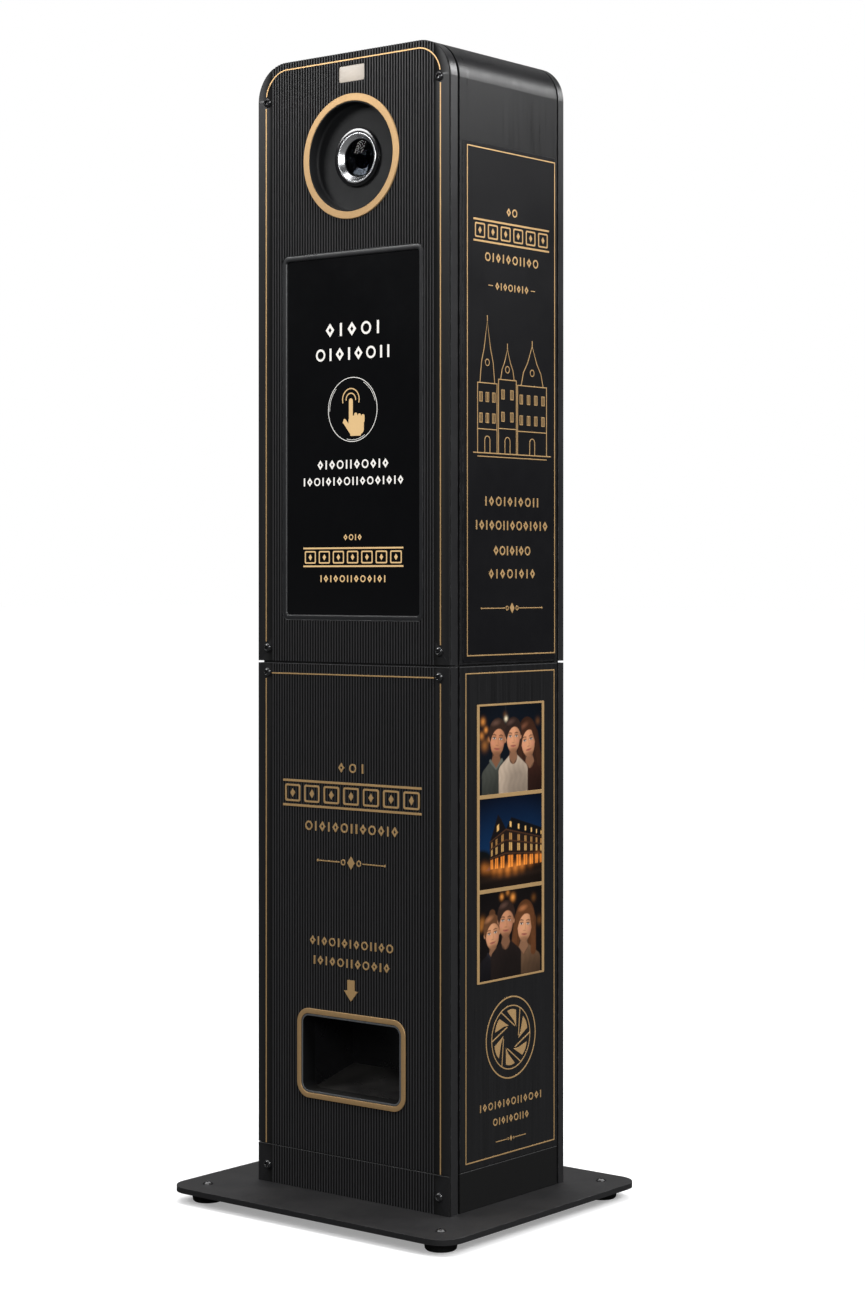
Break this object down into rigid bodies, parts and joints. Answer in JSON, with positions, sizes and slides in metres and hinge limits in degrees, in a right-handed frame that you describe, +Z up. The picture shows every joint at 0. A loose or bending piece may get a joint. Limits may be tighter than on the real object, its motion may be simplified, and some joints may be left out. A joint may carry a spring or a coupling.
{
  "type": "photo booth",
  "caption": "Slim free-standing photo booth tower with a camera in a ring, flash window, portrait touch screen, print outlet with tray, internal printer and hinged service door.",
  "frame": {"origin": "on the floor, under the centre of the base plate", "axes": "+Z up, front face towards -Y, +X to the right seen from the front"},
  "size_m": [0.524, 0.464, 1.668],
  "materials": {
    "base_black": "fine-textured powder coat",
    "rim_black": "smooth satin powder coat",
    "skin_black": "satin black with vertical brushing",
    "reeded_black": "satin black, reeded",
    "graphic_black": "satin black laminate with gold print",
    "inner_steel": "matte black primer",
    "tray_black": "satin black",
    "zinc_steel": "zinc plated",
    "black_screw": "black oxide",
    "foot_rubber": "moulded",
    "roller_rubber": "ground",
    "gold": "satin gold anodised",
    "lock_brass": "polished",
    "chrome_trim": "polished",
    "liner_plastic": "moulded",
    "case_plastic": "moulded",
    "well_black": "matte anti-glare",
    "bezel_grey": "satin dark grey",
    "screen_glass": "polished",
    "display_black": "display panel",
    "barrel_black": "gloss black",
    "lens_glass": "coated",
    "flash_diffuser": "translucent diffuser",
    "paper_white": "coated photo paper",
    "ribbon_film": "dye ribbon",
    "red_plastic": "moulded"
  },
  "bodies": {
    "tower": {"base_plate": "base_black", "rubber_feet": "foot_rubber", "foot_screws": "black_screw", "module_bolts": "zinc_steel", "lower_floor": "inner_steel", "lower_cheeks": "inner_steel", "lower_deck": "inner_steel", "lower_front_frame": "rim_black", "lower_rear_frame": "rim_black", "lower_side_left": "skin_black", "lower_side_right": "skin_black", "kick_strips": "reeded_black", "lower_front_panel": "reeded_black", "outlet_ring": "gold", "outlet_liner": "liner_plastic", "print_tray": "tray_black", "hinge_leaves": "zinc_steel", "hinge_pins": "zinc_steel", "mains_inlet": "liner_plastic", "power_supply": "zinc_steel", "printer_shelf": "inner_steel", "printer_base": "case_plastic", "print_head": "zinc_steel", "seam_gasket": "roller_rubber", "upper_floor": "inner_steel", "upper_liner": "inner_steel", "upper_front_frame": "rim_black", "upper_rear_frame": "rim_black", "upper_wrap": "skin_black", "graphic_left": "graphic_black", "graphic_right": "graphic_black", "upper_front_panel": "reeded_black", "panel_screws": "black_screw", "screen_bezel": "bezel_grey", "cover_glass": "screen_glass", "display_module": "display_black", "display_brackets": "zinc_steel", "lens_ring": "gold", "camera_well": "well_black", "lens_barrel": "barrel_black", "lens_trim": "chrome_trim", "lens_glass": "lens_glass", "camera_body": "case_plastic", "flash_window": "flash_diffuser", "flash_housing": "zinc_steel", "mini_pc": "case_plastic", "upper_rear_panel": "rim_black", "fan_frame": "liner_plastic"},
    "door": {"rear_door": "rim_black", "hinge_straps": "zinc_steel", "lock_housing": "zinc_steel"},
    "lock": {"lock_cam": "lock_brass"},
    "switch": {"rocker_switch": "red_plastic"},
    "fan": {"fan_rotor": "liner_plastic"},
    "lid": {"printer_lid": "case_plastic"},
    "roll": {"paper_roll": "paper_white"},
    "feed": {"feed_roller": "roller_rubber"},
    "pinch": {"pinch_roller": "zinc_steel"},
    "ribbon_feed": {"ribbon_supply": "ribbon_film"},
    "ribbon_wind": {"ribbon_takeup": "ribbon_film"}
  },
  "joints": [
    {"name": "door_hinge", "type": "hinge", "parent": "tower", "child": "door", "pos_m": [-0.15, 0.1525, 0.424], "axis": [0, 0, 1], "range_deg": [0, 110]},
    {"name": "lock_turn", "type": "hinge", "parent": "door", "child": "lock", "pos_m": [0.118, 0.1485, 0.324], "axis": [0, 1, 0], "range_deg": [0, 90]},
    {"name": "rocker_tilt", "type": "hinge", "parent": "tower", "child": "switch", "pos_m": [0.108, 0.148, 0.056], "axis": [0, 0, 1], "range_deg": [0, 16]},
    {"name": "fan_spin", "type": "hinge", "parent": "tower", "child": "fan", "pos_m": [0, 0.136, 1.478], "axis": [0, 1, 0], "continuous": true},
    {"name": "lid_hinge", "type": "hinge", "parent": "tower", "child": "lid", "pos_m": [0, -0.043, 0.551], "axis": [1, 0, 0], "range_deg": [0, 70]},
    {"name": "roll_spin", "type": "hinge", "parent": "tower", "child": "roll", "pos_m": [0, 0.056, 0.464], "axis": [1, 0, 0], "continuous": true},
    {"name": "feed_spin", "type": "hinge", "parent": "tower", "child": "feed", "pos_m": [0, -0.014, 0.47], "axis": [1, 0, 0], "continuous": true},
    {"name": "pinch_spin", "type": "hinge", "parent": "tower", "child": "pinch", "pos_m": [0, -0.014, 0.4864], "axis": [1, 0, 0], "continuous": true},
    {"name": "ribbon_feed_spin", "type": "hinge", "parent": "tower", "child": "ribbon_feed", "pos_m": [0, 0.044, 0.534], "axis": [1, 0, 0], "continuous": true},
    {"name": "ribbon_wind_spin", "type": "hinge", "parent": "tower", "child": "ribbon_wind", "pos_m": [0, -0.026, 0.534], "axis": [1, 0, 0], "continuous": true}
  ],
  "couplings": [
    {"joint": "feed_spin", "follows": "roll_spin", "ratio": 4.4444},
    {"joint": "pinch_spin", "follows": "roll_spin", "ratio": -5.7143},
    {"joint": "ribbon_feed_spin", "follows": "roll_spin", "ratio": 2.8571},
    {"joint": "ribbon_wind_spin", "follows": "roll_spin", "ratio": 3.6364}
  ]
}
